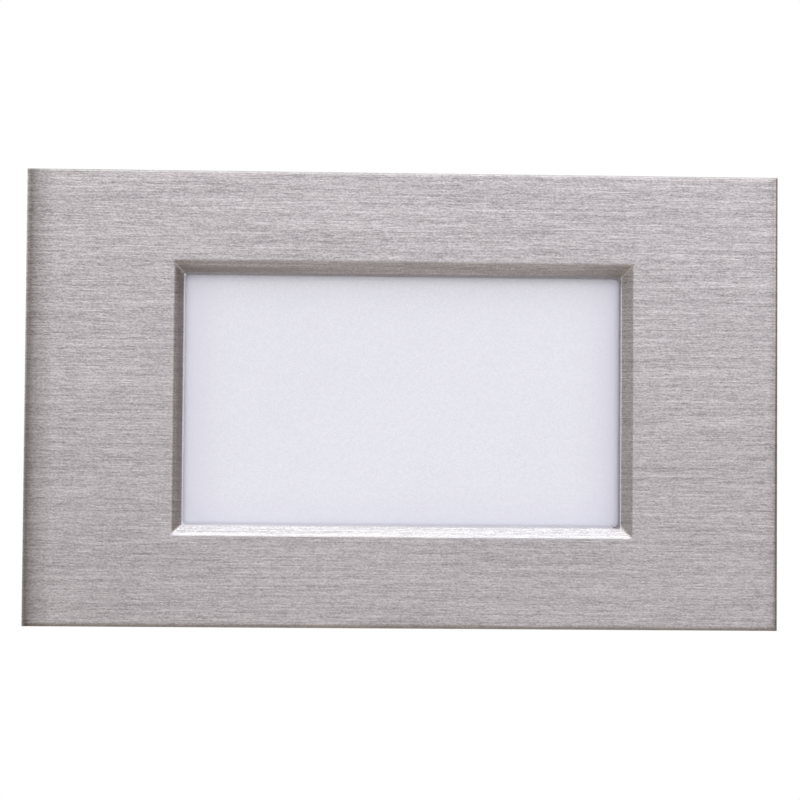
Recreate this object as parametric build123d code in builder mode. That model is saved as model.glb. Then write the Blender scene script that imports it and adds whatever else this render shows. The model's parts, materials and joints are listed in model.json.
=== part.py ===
"""Recessed single-gang LED step light with a folded stainless faceplate.

X runs to the right, Z up and Y into the wall. The origin lies in the wall plane,
midway between the two box-screw slots. Depths below are Y values: negative ones
stand out of the wall and positive ones lie inside the wall box. Sizes are in mm.
"""

import os
from math import radians, sqrt, tan

from build123d import *

os.makedirs("parts", exist_ok=True)

# ------------------------------------------------------------------ driving sizes
# Faceplate: a folded sheet pan with a bevelled window
plate_width = 120.65
plate_height = 73.0
plate_sheet = 1.2
plate_bend = 0.7  # outside radius of the folded edges; the sheet is grooved inside them
rim_gap = 0.3  # from the rim's edge to the wall
corner_seam = 0.35  # open seam where two folded rims meet
window_width = 70.0
window_height = 40.0
window_corner = 0.6
crease_corner = 0.3  # corner radius where the bevel leaves the face
crease_soft = 0.35  # width of the soft crease round the bevel
crease_drop = 0.12  # depth of the soft crease
bevel_run = 1.8  # bevel at 45 degrees, as wide as it is deep
lip_run = 0.3  # steeper lip between the bevel and the cut edge
lip_depth = 0.6
cut_edge = 0.8  # straight edge of the window

# Lens, its seal and the frame that clamps it
lens_gap = 0.3  # from the window's edge to the lens
lens_cover = 0.7  # lens plateau past the window, each side
lens_flange = 0.9  # flange past the plateau, each side
lens_flange_thick = 1.5
lens_proud = 0.1  # plateau past the frame's front
lens_wall = 2.0
lens_corner = 1.6
lens_edge_chamfer = 0.3
lens_fit = 0.1  # flange to rebate, each side
lens_gasket_thick = 0.8
gasket_ledge = 1.8  # width of the ledge that carries the seal
frame_sheet = 1.0
frame_fit = 0.2  # frame opening to plateau, each side

# Steel yoke and the screws of the single-gang box
box_screw_side = 6.67  # window's side edge to the box screw, for the 83.34 spacing
slot_width = 4.0
slot_length = 5.5
box_head_diameter = 6.6  # head of the wall box's own screw
head_clearance = 0.6
yoke_sheet = 1.5
yoke_gap = 0.9  # yoke to the foam seal, top and bottom
yoke_margin = 0.4  # yoke past the housing flange, top and bottom
yoke_corner = 4.0
yoke_fit = 0.5  # window of the yoke to housing, each side
yoke_end_notch = 4.0
yoke_end_notch_height = 20.0

# Housing
body_wall = 1.9
flange_rim = 1.5  # flange past the lens rebate, left and right
flange_corner = 3.0
draft_angle = 1.0
body_depth = 38.0
body_corner = 4.0
partition_depth = 16.0
partition_thick = 3.0
rib_height = 1.5
rib_thick = 1.2
rib_pitch = 5.0
rib_count = 13
rib_start = 2.0
rib_end_margin = 3.0
rib_fit = 0.3

# Screws: head diameter, head height and shank diameter of each kind
screw_sides = 12  # small screws, their holes and their posts are drawn with this many sides
frame_screw_inset = 7.2  # frame screw to the flange's side edge
frame_screw_head = 5.5
frame_screw_head_height = 1.8
frame_screw_shank = 2.9
small_screw_head = 4.4
small_screw_head_height = 1.4
small_screw_shank = 2.4
hole_clearance = 0.2  # through holes, on the diameter
thread_clearance = 0.1  # threaded holes, on the diameter
tip_clearance = 0.3  # below a screw's tip
head_crown = 0.5  # chamfer round a pan head

# Magnets and their carriers
magnet_size = 8.0
magnet_thick = 3.0
magnet_inset = 9.125  # magnet axis to the inside of the left or right rim
magnet_edge = 10.0  # magnet axis to the yoke's top or bottom edge
magnet_fit = 0.1
yoke_magnet_margin = 1.5  # steel past the magnet
carrier_wall = 1.4
carrier_base = 1.5
carrier_lift = 0.4  # from the carrier's cups to the yoke
carrier_rib_height = 2.6
carrier_rib_thick = 1.4

# Foam seal inside the rim
rim_gasket_width = 2.4
rim_gasket_thick = 3.0

# Reflector
reflector_wall = 1.1
reflector_lens_gap = 0.3
reflector_side_gap = 0.8
reflector_land_x = 8.9  # from the reflector's back edge to the side of the LED board
reflector_land_z = 5.9  # the same, to its top or bottom
cavity_corner = 2.5

# LED board
board_thick = 1.6
thermal_pad_thick = 0.5
pad_margin = 8.0  # from the board's side edge to the pad, clear of the screws
board_fit = 0.6
board_corner = 2.0
board_screw_inset = 3.2
board_screw_depth = 2.2  # thread into the partition
led_columns = 6
led_rows = 2
led_margin_x = 2.5  # outer LEDs to the side walls of the reflector
led_margin_z = 5.0
led_size = 3.0
led_height = 0.7
led_window = 2.2  # phosphor window in the LED's face
led_window_drop = 0.15

# Leads from the driver to the LED board
lead_diameter = 1.0
lead_sides = 6
lead_pitch = 2.0
lead_bend = 2.0
lead_fit = 0.1
lead_inset = 5.0  # from the LED board's side edge to the leads
lead_z = -7.0
lead_bend_lift = 0.2  # from the bushing to the start of the lead's bend
bushing_diameter = 6.0
bushing_flange_diameter = 7.6
bushing_flange_thick = 1.0
bushing_recess = 0.1
rubber_fit = 0.05  # bushing and grommet to their holes, on the radius
notch_fit = 0.3
connector_width = 3.6
connector_height = 3.0
connector_length = 6.0
connector_pin_drop = 0.8  # outer lead below the connector's top
connector_pin_step = 1.4
plug_chamfer = 0.5

# Driver board
board_boss_gap = 0.8  # driver board to the cover bosses
driver_fit = 1.7  # driver board to the housing mouth, top and bottom
driver_corner = 1.5
post_height = 4.5
post_diameter = 5.2
post_inset = 3.0
driver_screw_depth = 4.0
terminal_length = 6.5
terminal_height = 3.8
terminal_width = 6.0

# Components on the rear of the driver board. Those with an inset are placed from the
# board's nearer end, the others at (X, Z). Gaps run from a component's top to the rear
# end of the housing. Sizes are width, rise off the board and height.
transformer_at = (0.0, -3.0)
core_width = 16.0
core_stack = 5.0
core_gap = 0.9
core_limb = 2.0  # outer limbs and yokes; the centre limb is twice as thick
bobbin_lift = 0.8
bobbin_wall = 0.6
bobbin_fit = 0.1
bobbin_depth = 12.8
winding_build = 2.6
input_capacitor_at = (-6.5, 11.0)
input_capacitor_width = 9.5
input_capacitor_height = 5.0
input_capacitor_gap = 1.9
bulk_capacitor_inset = 11.5
bulk_capacitor_z = -8.0
bulk_capacitor_diameter = 8.0
bulk_capacitor_gap = 1.4
output_capacitor_inset = 11.5
output_capacitor_z = 3.0
output_capacitor_diameter = 6.3
output_capacitor_gap = 1.9
can_rim = 0.8  # rim round the dished top of a can
can_dish = 0.3
can_dish_sides = 12
bridge_inset = 9.5
bridge_z = 2.0
bridge_size = (8.5, 3.3, 6.3)
bridge_pins = 2  # along each side
bridge_pin_pitch = 5.0
chip_inset = 10.5
chip_z = 11.0
chip_size = (4.9, 1.5, 3.9)
chip_pins = 4
chip_pin_pitch = 1.27
fuse_at = (6.0, 12.0)
fuse_size = (8.3, 7.7, 4.0)
varistor_inset = 11.5
varistor_z = -10.0
varistor_diameter = 7.0
varistor_thick = 3.5
choke_inset = 9.5
choke_z = 10.5
choke_size = (6.0, 5.5, 6.0)
case_chamfer = 0.4
pin_width = 0.5
pin_thick = 0.25

# Rear cover, its seal and the supply inlet
cover_thick = 2.0
cover_round = 0.8
rear_gasket_thick = 0.8
rear_gasket_inset = 0.3
rear_gasket_width = 1.3
cover_boss_diameter = 6.0
cover_boss_inset = 4.8
cover_screw_depth = 7.0
inlet_x = -16.0
inlet_bore = 6.4
grommet_diameter = 10.0
grommet_flange_diameter = 13.0
grommet_flange_thick = 1.8
ground_inset = 14.1  # from the cover's side edge
ground_z = 8.0
ground_boss_diameter = 8.0
ground_boss_depth = 5.0
ground_head_diameter = 7.0
ground_head_height = 2.4
ground_slot_width = 0.8
ground_shank = 3.9
ground_washer_diameter = 9.0
ground_washer_thick = 0.8
ground_thread_depth = 5.0

# ------------------------------------------------------------------ stack of depths
yoke_front = -yoke_sheet
rebate_depth = lens_flange_thick + lens_gasket_thick
flange_front = yoke_front - rebate_depth
lens_back = flange_front + lens_flange_thick
frame_front = flange_front - frame_sheet
lens_front = frame_front - lens_proud
window_back = lens_front - lens_gap
lip_back = window_back - cut_edge
lip_front = lip_back - lip_depth
plate_front = lip_front - bevel_run
plate_inner = plate_front + plate_sheet
rim_edge = -rim_gap
carrier_front = plate_inner + carrier_base
cup_back = yoke_front - carrier_lift
magnet_front = yoke_front - magnet_thick
pad_front = partition_depth - thermal_pad_thick
board_front = pad_front - board_thick
partition_back = partition_depth + partition_thick
reflector_front = lens_back + reflector_lens_gap
driver_front = partition_back + post_height
driver_back = driver_front + board_thick
driver_room = body_depth - driver_back
cover_front = body_depth + rear_gasket_thick
cover_back = cover_front + cover_thick

# ------------------------------------------------------------------ widths that follow
plate_inner_width = plate_width - 2 * plate_sheet
plate_inner_height = plate_height - 2 * plate_sheet
lens_width = window_width + 2 * lens_cover
lens_height = window_height + 2 * lens_cover
lens_flange_width = lens_width + 2 * lens_flange
lens_flange_height = lens_height + 2 * lens_flange
rebate_width = lens_flange_width + 2 * lens_fit
rebate_height = lens_flange_height + 2 * lens_fit
cavity_width = rebate_width - 2 * gasket_ledge
cavity_height = rebate_height - 2 * gasket_ledge
body_width = cavity_width + 2 * body_wall
body_height = cavity_height + 2 * body_wall
yoke_window_width = body_width + 2 * yoke_fit
yoke_window_height = body_height + 2 * (rib_height + rib_fit)
box_spacing = window_width + 2 * box_screw_side
magnet_x = plate_inner_width / 2 - magnet_inset
yoke_width = 2 * (magnet_x + magnet_size / 2 + yoke_magnet_margin)
yoke_height = plate_inner_height - 2 * (rim_gasket_width + yoke_gap)
magnet_rise = yoke_height / 2 - magnet_edge
flange_width = rebate_width + 2 * flange_rim
flange_height = yoke_height - 2 * yoke_margin
frame_screw_x = flange_width / 2 - frame_screw_inset
frame_screw_rise = (yoke_window_height + flange_height) / 4  # midway across the flange


def drafted(size, run):
    """Width left of a size after the draft has run over a depth on both sides."""
    return size - 2 * run * tan(radians(draft_angle))


rear_width = drafted(body_width, body_depth - yoke_front)
rear_height = drafted(body_height, body_depth - yoke_front)
mouth_width = rear_width - 2 * body_wall
mouth_height = rear_height - 2 * body_wall
mouth_corner = body_corner - body_wall
floor_width = drafted(cavity_width, partition_depth - yoke_front)
floor_height = drafted(cavity_height, partition_depth - yoke_front)
board_width = floor_width - 2 * board_fit
board_height = floor_height - 2 * board_fit
reflector_front_width = cavity_width - 2 * reflector_side_gap
reflector_front_height = cavity_height - 2 * reflector_side_gap
reflector_back_width = board_width - 2 * (reflector_land_x + reflector_wall)
reflector_back_height = board_height - 2 * (reflector_land_z + reflector_wall)
led_pitch_x = (reflector_back_width - led_size - 2 * led_margin_x) / (led_columns - 1)
led_pitch_z = (reflector_back_height - led_size - 2 * led_margin_z) / (led_rows - 1)
lead_x = board_width / 2 - lead_inset
cover_screw_x = rear_width / 2 - cover_boss_inset
cover_screw_z = rear_height / 2 - cover_boss_inset
driver_width = 2 * (cover_screw_x - cover_boss_diameter / 2 - board_boss_gap)
driver_height = mouth_height - 2 * driver_fit
bridge_at = (bridge_inset - driver_width / 2, bridge_z)
varistor_at = (varistor_inset - driver_width / 2, varistor_z)
choke_at = (choke_inset - driver_width / 2, choke_z)
chip_at = (driver_width / 2 - chip_inset, chip_z)
bulk_capacitor_at = (driver_width / 2 - bulk_capacitor_inset, bulk_capacitor_z)
output_capacitor_at = (driver_width / 2 - output_capacitor_inset, output_capacitor_z)
ground_x = rear_width / 2 - ground_inset
post_x = driver_width / 2 - post_inset
post_z = driver_height / 2 - post_inset


def four_corners(x, z):
    """The four points at plus and minus x and z."""
    return [(side * x, rise * z) for side in (-1, 1) for rise in (-1, 1)]


frame_screw_points = four_corners(frame_screw_x, frame_screw_rise)
cover_screw_points = four_corners(cover_screw_x, cover_screw_z)
magnet_points = four_corners(magnet_x, magnet_rise)
post_points = four_corners(post_x, post_z)
# two screws hold each board, at opposite corners
driver_screw_points = [(-post_x, post_z), (post_x, -post_z)]
board_screw_x = board_width / 2 - board_screw_inset
board_screw_z = board_height / 2 - board_screw_inset
board_screw_points = [(-board_screw_x, board_screw_z), (board_screw_x, -board_screw_z)]
box_screw_points = [(-box_spacing / 2, 0), (box_spacing / 2, 0)]
lead_points = [(lead_x, lead_z - lead_pitch / 2), (lead_x, lead_z + lead_pitch / 2)]


# ------------------------------------------------------------------ shared shapes
def wall_plane(depth):
    """Plane parallel to the wall, X and Z in it; extrusions go towards the room."""
    return Plane.XZ.offset(-depth)


def folded_block(width, height, front, back, bend):
    """Block whose front edges are folded round a radius, with mitred corners."""
    middle = (front + back) / 2
    with BuildPart() as block:
        with BuildSketch(Plane.XY) as plan:
            with Locations((0, middle)):
                Rectangle(width, back - front)
            fillet(plan.vertices().group_by(Axis.Y)[0], bend)
        extrude(amount=height / 2, both=True)
        with BuildSketch(Plane.YZ) as section:
            with Locations((middle, 0)):
                Rectangle(back - front, height)
            fillet(section.vertices().group_by(Axis.X)[0], bend)
        extrude(amount=width / 2, both=True, mode=Mode.INTERSECT)
    return block.part


def funnel(front_width, front_height, back_width, back_height, front, back):
    """Four-sided block with flat sides that run from the front size to the back size."""
    plan = [(front_width / 2, front), (back_width / 2, back)]
    section = [(front, front_height / 2), (back, back_height / 2)]
    with BuildPart() as block:
        with BuildSketch(Plane.XY):
            with BuildLine():
                Polyline(*plan, *[(-x, y) for x, y in reversed(plan)], close=True)
            make_face()
        extrude(amount=front_height / 2, both=True)
        with BuildSketch(Plane.YZ):
            with BuildLine():
                Polyline(*section, *[(y, -z) for y, z in reversed(section)], close=True)
            make_face()
        extrude(amount=front_width / 2, both=True, mode=Mode.INTERSECT)
    return block.part


def drafted_block(width, height, start, end, corner):
    """Block with rounded corners, drafted inwards from its start depth to its end depth."""
    run = abs(end - start)
    with BuildPart() as block:
        add(funnel(width, height, drafted(width, run), drafted(height, run), start, end))
        fillet(block.edges().group_by(Axis.Y)[1], corner)
    return block.part


def screw_sections(points, diameter, depth):
    """Sections of small screws, or of holes or posts for them, in the plane at a depth."""
    with BuildSketch(wall_plane(depth)) as sections:
        with Locations(*points):
            RegularPolygon(diameter / 2, screw_sides)
    return sections.sketch


def pan_screws(points, seat, towards, head, head_height, shank, shank_length):
    """Pan-head screws on points; towards is 1 for heads facing the room, -1 for the wall."""
    with BuildPart() as screws:
        extrude(screw_sections(points, head, seat), amount=towards * head_height)
        top = screws.faces().group_by(Axis.Y)[0 if towards > 0 else -1]
        chamfer(top.edges(), head_crown)
        extrude(screw_sections(points, shank, seat), amount=-towards * shank_length)
    return screws.part


def ring(back, thick, outer_width, outer_height, outer_corner, width, height, corner):
    """Flat ring between two rounded rectangles, from its back depth towards the room."""
    with BuildPart() as band:
        with BuildSketch(wall_plane(back)):
            RectangleRounded(outer_width, outer_height, outer_corner)
            RectangleRounded(width, height, corner, mode=Mode.SUBTRACT)
        extrude(amount=thick)
    return band.part


# ------------------------------------------------------------------ faceplate
crease_reach = bevel_run + lip_run
fold_stretch = plate_sheet * sqrt(2)  # the sheet's thickness measured across the 45 degree bevel
fold_front_reach = crease_reach - plate_sheet + fold_stretch
fold_back_reach = crease_reach - (window_back - plate_front) + fold_stretch
seam_cut = 4 * plate_sheet  # crosses both rims at a corner

with BuildPart() as faceplate:
    add(folded_block(plate_width, plate_height, plate_front, rim_edge, plate_bend))
    with BuildSketch(wall_plane(0)):
        Rectangle(plate_inner_width, plate_inner_height)
    extrude(amount=-plate_inner, mode=Mode.SUBTRACT)
    # the sheet turned in at 45 degrees round the window
    with BuildSketch(wall_plane(plate_inner)):
        Rectangle(window_width + 2 * fold_front_reach, window_height + 2 * fold_front_reach)
    with BuildSketch(wall_plane(window_back)):
        Rectangle(window_width + 2 * fold_back_reach, window_height + 2 * fold_back_reach)
    loft(ruled=True)
    # soft crease, bevel and lip, one after the other into the window
    with BuildSketch(wall_plane(plate_front)):
        RectangleRounded(
            window_width + 2 * (crease_reach + crease_soft),
            window_height + 2 * (crease_reach + crease_soft),
            crease_corner + crease_soft,
        )
    with BuildSketch(wall_plane(plate_front + crease_drop)):
        RectangleRounded(
            window_width + 2 * (crease_reach - crease_drop),
            window_height + 2 * (crease_reach - crease_drop),
            crease_corner,
        )
    with BuildSketch(wall_plane(lip_front)):
        RectangleRounded(window_width + 2 * lip_run, window_height + 2 * lip_run, window_corner)
    with BuildSketch(wall_plane(lip_back)):
        RectangleRounded(window_width, window_height, window_corner)
    with BuildSketch(wall_plane(window_back)):
        RectangleRounded(window_width, window_height, window_corner)
    loft(ruled=True, mode=Mode.SUBTRACT)
    # open seams where the folded rims meet
    with BuildSketch(wall_plane(rim_edge)):
        for side in (-1, 1):
            for rise in (-1, 1):
                with Locations((side * plate_width / 2, rise * plate_height / 2)):
                    Rectangle(seam_cut, corner_seam, rotation=45 * side * rise)
    extrude(amount=rim_edge - plate_front - plate_bend, mode=Mode.SUBTRACT)
faceplate.part.label = "faceplate"
export_step(faceplate.part, "parts/faceplate.step")

# ------------------------------------------------------------------ rim gasket
with BuildPart() as rim_gasket:
    with BuildSketch(wall_plane(0)):
        Rectangle(plate_inner_width, plate_inner_height)
        Rectangle(
            plate_inner_width - 2 * rim_gasket_width,
            plate_inner_height - 2 * rim_gasket_width,
            mode=Mode.SUBTRACT,
        )
    extrude(amount=rim_gasket_thick)
rim_gasket.part.label = "rim_gasket"
export_step(rim_gasket.part, "parts/rim_gasket.step")

# ------------------------------------------------------------------ magnets and carriers
with BuildPart() as plate_magnets:
    with BuildSketch(wall_plane(yoke_front)):
        with Locations(*magnet_points):
            Rectangle(magnet_size, magnet_size)
    extrude(amount=magnet_thick)
plate_magnets.part.label = "plate_magnets"
export_step(plate_magnets.part, "parts/plate_magnets.step")

cup_size = magnet_size + 2 * (magnet_fit + carrier_wall)


def magnet_carrier(side):
    """Strip with two magnet cups, bonded to the inside of the plate at one end."""
    cups = [(side * magnet_x, -magnet_rise), (side * magnet_x, magnet_rise)]
    with BuildPart() as carrier:
        with BuildSketch(wall_plane(carrier_front)):
            with Locations((side * magnet_x, 0)):
                Rectangle(cup_size, 2 * magnet_rise + cup_size)
        extrude(amount=carrier_base)
        with BuildSketch(wall_plane(cup_back)):
            with Locations(*cups):
                Rectangle(cup_size, cup_size)
        extrude(amount=cup_back - carrier_front)
        # stiffening rib from cup to cup
        with BuildSketch(wall_plane(carrier_front + carrier_rib_height)):
            with Locations((side * magnet_x, 0)):
                Rectangle(carrier_rib_thick, 2 * magnet_rise - cup_size)
        extrude(amount=carrier_rib_height)
        pocket = magnet_size + 2 * magnet_fit
        with BuildSketch(wall_plane(cup_back)):
            with Locations(*cups):
                Rectangle(pocket, pocket)
        extrude(amount=cup_back - magnet_front, mode=Mode.SUBTRACT)
    return carrier.part


with BuildPart() as magnet_carrier_left:
    add(magnet_carrier(-1))
magnet_carrier_left.part.label = "magnet_carrier_left"
export_step(magnet_carrier_left.part, "parts/magnet_carrier_left.step")

with BuildPart() as magnet_carrier_right:
    add(magnet_carrier(1))
magnet_carrier_right.part.label = "magnet_carrier_right"
export_step(magnet_carrier_right.part, "parts/magnet_carrier_right.step")

# ------------------------------------------------------------------ mounting yoke
scallop_radius = box_head_diameter / 2 + head_clearance
frame_screw_hole = frame_screw_shank + hole_clearance
small_screw_hole = small_screw_shank + hole_clearance

with BuildPart() as mounting_yoke:
    with BuildSketch(wall_plane(0)):
        RectangleRounded(yoke_width, yoke_height, yoke_corner)
        RectangleRounded(yoke_window_width, yoke_window_height, body_corner, mode=Mode.SUBTRACT)
        with Locations(*box_screw_points):
            SlotOverall(slot_length, slot_width, mode=Mode.SUBTRACT)
        with Locations((-yoke_width / 2, 0), (yoke_width / 2, 0)):
            SlotOverall(
                yoke_end_notch_height, 2 * yoke_end_notch, rotation=90, mode=Mode.SUBTRACT
            )
    extrude(amount=yoke_sheet)
    threads = screw_sections(frame_screw_points, frame_screw_shank + thread_clearance, 0)
    extrude(threads, amount=yoke_sheet, mode=Mode.SUBTRACT)
mounting_yoke.part.label = "mounting_yoke"
export_step(mounting_yoke.part, "parts/mounting_yoke.step")

# ------------------------------------------------------------------ housing
rib_top_end = body_depth - rib_end_margin

with BuildPart() as housing:
    # flange that sits on the yoke
    with BuildSketch(wall_plane(yoke_front)):
        RectangleRounded(flange_width, flange_height, flange_corner)
    extrude(amount=rebate_depth)
    # drafted body behind it
    add(drafted_block(body_width, body_height, yoke_front, body_depth, body_corner))
    # cooling ribs on top and bottom, sloped off at the rear
    with BuildSketch(Plane.YZ) as rib_profile:
        for side in (-1, 1):
            root = side * (rear_height - body_wall) / 2
            crest = side * (body_height / 2 + rib_height)
            with BuildLine():
                Polyline(
                    (rib_start, root),
                    (rib_start, crest),
                    (rib_top_end - rib_end_margin, crest),
                    (rib_top_end, root),
                    close=True,
                )
            make_face()
    ribs = extrude(amount=rib_thick / 2, both=True, mode=Mode.PRIVATE)
    with GridLocations(rib_pitch, 1, rib_count, 1):
        add(ribs)
    # lens rebate and light cavity in front of the partition
    with BuildSketch(wall_plane(yoke_front)):
        RectangleRounded(rebate_width, rebate_height, lens_corner + lens_fit)
    extrude(amount=rebate_depth, mode=Mode.SUBTRACT)
    add(
        drafted_block(cavity_width, cavity_height, yoke_front, partition_depth, cavity_corner),
        mode=Mode.SUBTRACT,
    )
    # driver cavity behind the partition
    add(
        drafted_block(mouth_width, mouth_height, body_depth, partition_back, mouth_corner),
        mode=Mode.SUBTRACT,
    )
    # corner bosses up to the cover, through the seal, and posts for the driver board
    with BuildSketch(wall_plane(cover_front)):
        with Locations(*cover_screw_points):
            Circle(cover_boss_diameter / 2)
    extrude(amount=cover_front - partition_back)
    extrude(screw_sections(post_points, post_diameter, driver_front), amount=post_height)
    # screw holes, blind where the screw ends in the casting
    small_thread = small_screw_shank + thread_clearance
    cover_threads = screw_sections(cover_screw_points, small_thread, cover_front)
    extrude(cover_threads, amount=cover_screw_depth + tip_clearance, mode=Mode.SUBTRACT)
    driver_threads = screw_sections(driver_screw_points, small_thread, driver_front)
    extrude(driver_threads, amount=driver_screw_depth + tip_clearance, mode=Mode.SUBTRACT)
    board_threads = screw_sections(board_screw_points, small_thread, partition_depth)
    extrude(board_threads, amount=-(board_screw_depth + tip_clearance), mode=Mode.SUBTRACT)
    frame_holes = screw_sections(frame_screw_points, frame_screw_hole, yoke_front)
    extrude(frame_holes, amount=rebate_depth, mode=Mode.SUBTRACT)
    # room for the heads of the box screws
    with BuildSketch(wall_plane(yoke_front)):
        with Locations(*box_screw_points):
            Circle(scallop_radius)
    extrude(amount=rebate_depth, mode=Mode.SUBTRACT)
    # hole for the lead bushing
    with BuildSketch(wall_plane(partition_back)):
        with Locations((lead_x, lead_z)):
            Circle(bushing_diameter / 2 + rubber_fit)
    extrude(amount=partition_thick, mode=Mode.SUBTRACT)
housing.part.label = "housing"
export_step(housing.part, "parts/housing.step")

# ------------------------------------------------------------------ lens, seal and frame
with BuildPart() as lens:
    with BuildSketch(wall_plane(lens_back)):
        RectangleRounded(lens_flange_width, lens_flange_height, lens_corner)
    extrude(amount=lens_flange_thick)
    with BuildSketch(wall_plane(flange_front)):
        RectangleRounded(lens_width, lens_height, lens_corner)
    extrude(amount=flange_front - lens_front)
    chamfer(lens.faces().sort_by(Axis.Y)[0].edges(), lens_edge_chamfer)
    with BuildSketch(wall_plane(lens_back)):
        RectangleRounded(cavity_width, cavity_height, cavity_corner)
    extrude(amount=lens_back - lens_front - lens_wall, mode=Mode.SUBTRACT)
lens.part.label = "lens"
export_step(lens.part, "parts/lens.step")

with BuildPart() as lens_gasket:
    add(
        ring(
            yoke_front, lens_gasket_thick,
            lens_flange_width, lens_flange_height, lens_corner,
            cavity_width, cavity_height, cavity_corner,
        )
    )
lens_gasket.part.label = "lens_gasket"
export_step(lens_gasket.part, "parts/lens_gasket.step")

with BuildPart() as lens_frame:
    with BuildSketch(wall_plane(flange_front)):
        RectangleRounded(flange_width, flange_height, flange_corner)
        RectangleRounded(
            lens_width + 2 * frame_fit,
            lens_height + 2 * frame_fit,
            lens_corner + frame_fit,
            mode=Mode.SUBTRACT,
        )
        with Locations(*box_screw_points):
            Circle(scallop_radius, mode=Mode.SUBTRACT)
    extrude(amount=frame_sheet)
    clearance_holes = screw_sections(frame_screw_points, frame_screw_hole, flange_front)
    extrude(clearance_holes, amount=frame_sheet, mode=Mode.SUBTRACT)
lens_frame.part.label = "lens_frame"
export_step(lens_frame.part, "parts/lens_frame.step")

with BuildPart() as frame_screws:
    add(
        pan_screws(
            frame_screw_points, frame_front, 1,
            frame_screw_head, frame_screw_head_height,
            frame_screw_shank, -frame_front - tip_clearance,
        )
    )
frame_screws.part.label = "frame_screws"
export_step(frame_screws.part, "parts/frame_screws.step")

# ------------------------------------------------------------------ reflector
with BuildPart() as reflector:
    # four mitred walls that narrow from the lens to the LED board
    add(
        funnel(
            reflector_front_width, reflector_front_height,
            reflector_back_width + 2 * reflector_wall, reflector_back_height + 2 * reflector_wall,
            reflector_front, board_front,
        )
    )
    add(
        funnel(
            reflector_front_width - 2 * reflector_wall,
            reflector_front_height - 2 * reflector_wall,
            reflector_back_width, reflector_back_height,
            reflector_front, board_front,
        ),
        mode=Mode.SUBTRACT,
    )
reflector.part.label = "reflector"
export_step(reflector.part, "parts/reflector.step")

# ------------------------------------------------------------------ LED board and pad
notch_radius = bushing_diameter / 2 + notch_fit
notch_length = board_width / 2 - lead_x


with BuildPart() as thermal_pad:
    with BuildSketch(wall_plane(partition_depth)):
        Rectangle(board_width - 2 * pad_margin, board_height)
    extrude(amount=thermal_pad_thick)
thermal_pad.part.label = "thermal_pad"
export_step(thermal_pad.part, "parts/thermal_pad.step")

with BuildPart() as led_board:
    with BuildSketch(wall_plane(pad_front)):
        RectangleRounded(board_width, board_height, board_corner)
        # notch for the bushing, open to the side
        with Locations((lead_x, lead_z)):
            Circle(notch_radius, mode=Mode.SUBTRACT)
        with Locations((lead_x + notch_length, lead_z)):
            Rectangle(2 * notch_length, 2 * notch_radius, mode=Mode.SUBTRACT)
    extrude(amount=board_thick)
    clearance_holes = screw_sections(board_screw_points, small_screw_hole, pad_front)
    extrude(clearance_holes, amount=board_thick, mode=Mode.SUBTRACT)
led_board.part.label = "led_board"
export_step(led_board.part, "parts/led_board.step")

with BuildPart() as leds:
    with BuildSketch(wall_plane(board_front)):
        with GridLocations(led_pitch_x, led_pitch_z, led_columns, led_rows):
            Rectangle(led_size, led_size)
    extrude(amount=led_height)
    with BuildSketch(wall_plane(board_front - led_height)):
        with GridLocations(led_pitch_x, led_pitch_z, led_columns, led_rows):
            Rectangle(led_window, led_window)
    extrude(amount=-led_window_drop, mode=Mode.SUBTRACT)
leds.part.label = "leds"
export_step(leds.part, "parts/leds.step")

with BuildPart() as board_screws:
    add(
        pan_screws(
            board_screw_points, board_front, 1,
            small_screw_head, small_screw_head_height,
            small_screw_shank, board_thick + thermal_pad_thick + board_screw_depth,
        )
    )
board_screws.part.label = "board_screws"
export_step(board_screws.part, "parts/board_screws.step")

# ------------------------------------------------------------------ leads, bushing and plugs
connector_z = lead_points[1][1] + 2 * lead_bend
connector_top = board_front - connector_height

with BuildPart() as board_connector:
    with BuildSketch(wall_plane(board_front)):
        with Locations((lead_x, connector_z + connector_length / 2)):
            Rectangle(connector_width, connector_length)
    extrude(amount=connector_height)
    chamfer(board_connector.faces().sort_by(Axis.Y)[0].edges().filter_by(Axis.Z), plug_chamfer)
board_connector.part.label = "board_connector"
export_step(board_connector.part, "parts/board_connector.step")

terminal_x = lead_x - lead_bend - bushing_flange_diameter / 2

with BuildPart() as output_terminal:
    with BuildSketch(wall_plane(driver_front)):
        with Locations((terminal_x - terminal_length / 2, lead_z)):
            Rectangle(terminal_length, terminal_width)
    extrude(amount=terminal_height)
    chamfer(output_terminal.faces().sort_by(Axis.Y)[0].edges().filter_by(Axis.Z), plug_chamfer)
output_terminal.part.label = "output_terminal"
export_step(output_terminal.part, "parts/output_terminal.step")


def lead(z, pin_depth):
    """Round lead from the driver's terminal through the bushing to the connector."""
    run_depth = partition_back + bushing_flange_thick + lead_bend_lift + lead_bend
    start = (terminal_x, run_depth, z)
    with BuildPart() as wire:
        with BuildLine():
            FilletPolyline(
                start,
                (lead_x, run_depth, z),
                (lead_x, pin_depth, z),
                (lead_x, pin_depth, connector_z),
                radius=lead_bend,
            )
        with BuildSketch(Plane(origin=start, z_dir=(1, 0, 0))):
            RegularPolygon(lead_diameter / 2, lead_sides)
        sweep()
    return wire.part


with BuildPart() as lead_black:
    add(lead(lead_points[0][1], connector_top + connector_pin_drop))
lead_black.part.label = "lead_black"
export_step(lead_black.part, "parts/lead_black.step")

with BuildPart() as lead_red:
    add(lead(lead_points[1][1], connector_top + connector_pin_drop + connector_pin_step))
lead_red.part.label = "lead_red"
export_step(lead_red.part, "parts/lead_red.step")

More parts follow.
